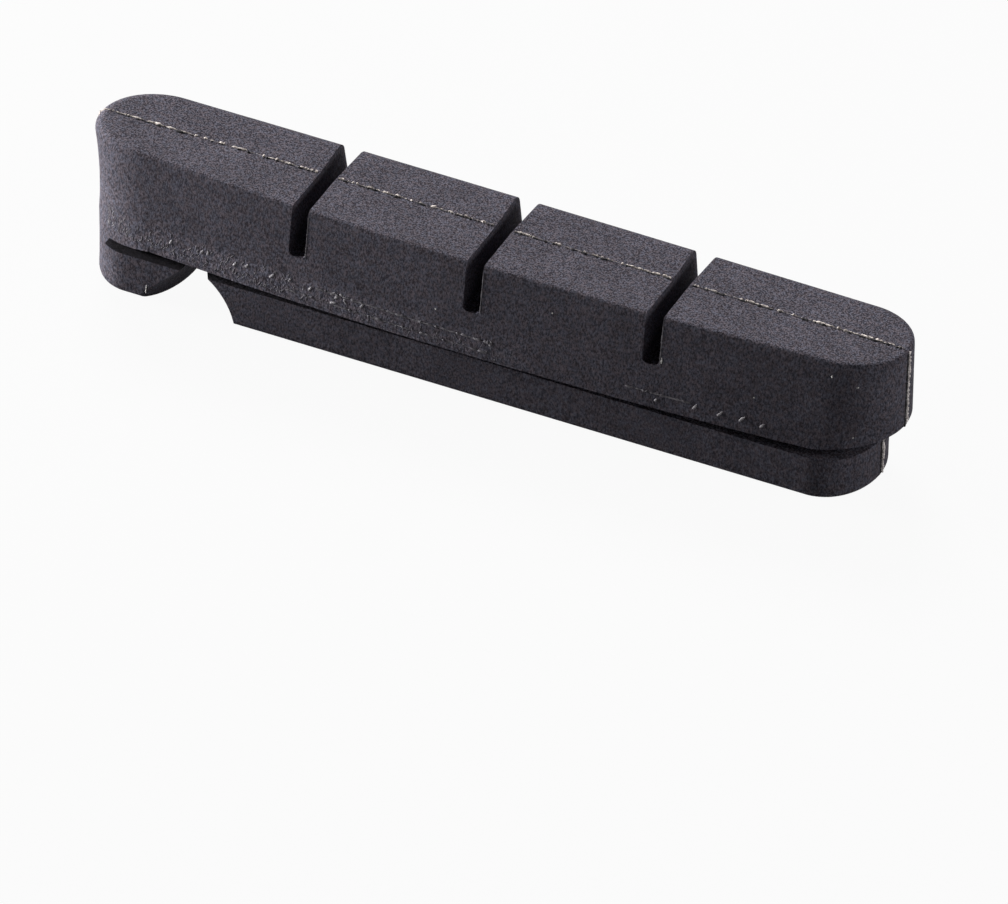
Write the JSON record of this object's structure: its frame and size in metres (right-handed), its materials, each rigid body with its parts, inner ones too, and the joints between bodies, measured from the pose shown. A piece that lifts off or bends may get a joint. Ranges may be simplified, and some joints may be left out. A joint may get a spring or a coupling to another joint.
{
  "type": "cartridge rim brake pad",
  "caption": "Moulded rubber insert for a cartridge rim brake shoe: a bowed, grooved braking block on an undercut retaining rail with a locking notch at the tail.",
  "frame": {"origin": "on the back of the rail, midway along the pad's length, in the plane where the two halves of the mould meet", "axes": "+X along the pad towards the leading end, where the rail is set back from the block; -Y towards the bowed flank; +Z from the rail's back to the braking face"},
  "size_m": [0.055, 0.0108, 0.01],
  "materials": {
    "pad_rubber": "matte, finely grained moulded surface"
  },
  "bodies": {
    "root": {"brake_pad": "pad_rubber"}
  },
  "joints": []
}
